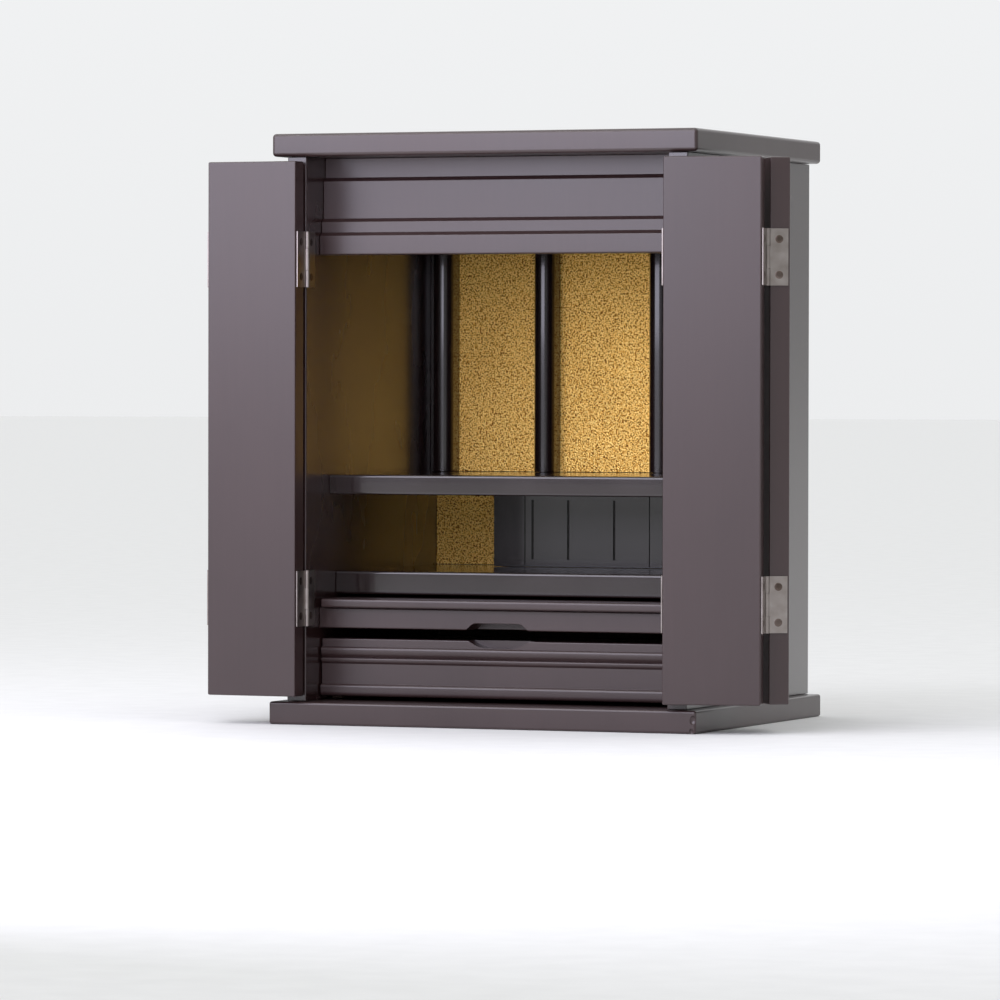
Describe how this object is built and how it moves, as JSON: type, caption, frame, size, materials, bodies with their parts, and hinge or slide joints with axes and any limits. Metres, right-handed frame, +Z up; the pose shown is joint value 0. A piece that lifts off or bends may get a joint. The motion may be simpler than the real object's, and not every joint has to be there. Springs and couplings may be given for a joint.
{
  "type": "household altar cabinet",
  "caption": "Tabletop household altar cabinet with folding doors, a gold-backed niche under a moulded valance, a lower niche with a dais, a pull-out board and a drawer.",
  "frame": {"origin": "centre of the plinth's underside", "axes": "+Z up, -Y the front where the doors open, +X to the right as one faces the cabinet"},
  "size_m": [0.5605, 0.3532, 0.542],
  "materials": {
    "satin_lacquer": "dark purple-brown lacquer with a soft gloss",
    "gloss_lacquer": "darker, glossier lacquer inside the niches",
    "gold_panel": "thin board faced with a mottled gold leaf pattern",
    "bronzed_brass": "dull bronzed hinges",
    "bare_board": "plain unlacquered board"
  },
  "bodies": {
    "cabinet": {"plinth": "satin_lacquer", "top_board": "satin_lacquer", "left_side_panel": "satin_lacquer", "right_side_panel": "satin_lacquer", "back_board": "bare_board", "valance": "satin_lacquer", "upper_shelf": "gloss_lacquer", "lower_niche_floor": "gloss_lacquer", "upper_gold_panel": "gold_panel", "lower_gold_panel": "gold_panel", "left_wall_post": "gloss_lacquer", "left_bay_post": "gloss_lacquer", "right_bay_post": "gloss_lacquer", "right_wall_post": "gloss_lacquer", "dais_front": "gloss_lacquer", "dais_left_side": "gloss_lacquer", "dais_right_side": "gloss_lacquer", "drawer_divider": "satin_lacquer", "left_side_upper_hinge_fixed": "bronzed_brass", "left_side_upper_hinge_pin": "bronzed_brass", "left_side_lower_hinge_fixed": "bronzed_brass", "left_side_lower_hinge_pin": "bronzed_brass", "right_side_upper_hinge_fixed": "bronzed_brass", "right_side_upper_hinge_pin": "bronzed_brass", "right_side_lower_hinge_fixed": "bronzed_brass", "right_side_lower_hinge_pin": "bronzed_brass"},
    "pull_out_board": {"pull_out_board": "satin_lacquer"},
    "drawer": {"drawer_front": "satin_lacquer", "drawer_left_side": "bare_board", "drawer_right_side": "bare_board", "drawer_back": "bare_board", "drawer_bottom": "bare_board"},
    "left_outer_door": {"left_outer_leaf": "satin_lacquer", "left_side_upper_hinge_moving": "bronzed_brass", "left_side_lower_hinge_moving": "bronzed_brass", "left_fold_upper_hinge_fixed": "bronzed_brass", "left_fold_upper_hinge_pin": "bronzed_brass", "left_fold_lower_hinge_fixed": "bronzed_brass", "left_fold_lower_hinge_pin": "bronzed_brass"},
    "left_inner_door": {"left_inner_leaf": "satin_lacquer", "left_fold_upper_hinge_moving": "bronzed_brass", "left_fold_lower_hinge_moving": "bronzed_brass"},
    "right_outer_door": {"right_outer_leaf": "satin_lacquer", "right_side_upper_hinge_moving": "bronzed_brass", "right_side_lower_hinge_moving": "bronzed_brass", "right_fold_upper_hinge_fixed": "bronzed_brass", "right_fold_upper_hinge_pin": "bronzed_brass", "right_fold_lower_hinge_fixed": "bronzed_brass", "right_fold_lower_hinge_pin": "bronzed_brass"},
    "right_inner_door": {"right_inner_leaf": "satin_lacquer", "right_fold_upper_hinge_moving": "bronzed_brass", "right_fold_lower_hinge_moving": "bronzed_brass"}
  },
  "joints": [
    {"name": "left_outer_door_hinge", "type": "hinge", "parent": "cabinet", "child": "left_outer_door", "pos_m": [-0.1748, -0.1614, 0.2713], "axis": [0, 0, -1], "range_deg": [-181.2, 0]},
    {"name": "left_inner_door_hinge", "type": "hinge", "parent": "left_outer_door", "child": "left_inner_door", "pos_m": [-0.26788, -0.15945, 0.2713], "axis": [0, 0, -1], "range_deg": [-146, 1.5]},
    {"name": "right_outer_door_hinge", "type": "hinge", "parent": "cabinet", "child": "right_outer_door", "pos_m": [0.1748, -0.1614, 0.2713], "axis": [0, 0, 1], "range_deg": [-191.4, 0]},
    {"name": "right_inner_door_hinge", "type": "hinge", "parent": "right_outer_door", "child": "right_inner_door", "pos_m": [0.26606, -0.143, 0.2713], "axis": [0, 0, 1], "range_deg": [-110, 20]},
    {"name": "pull_out_board_slide", "type": "slide", "parent": "cabinet", "child": "pull_out_board", "axis": [0, -1, 0], "range_m": [0, 0.185]},
    {"name": "drawer_slide", "type": "slide", "parent": "cabinet", "child": "drawer", "axis": [0, -1, 0], "range_m": [0, 0.2]}
  ]
}
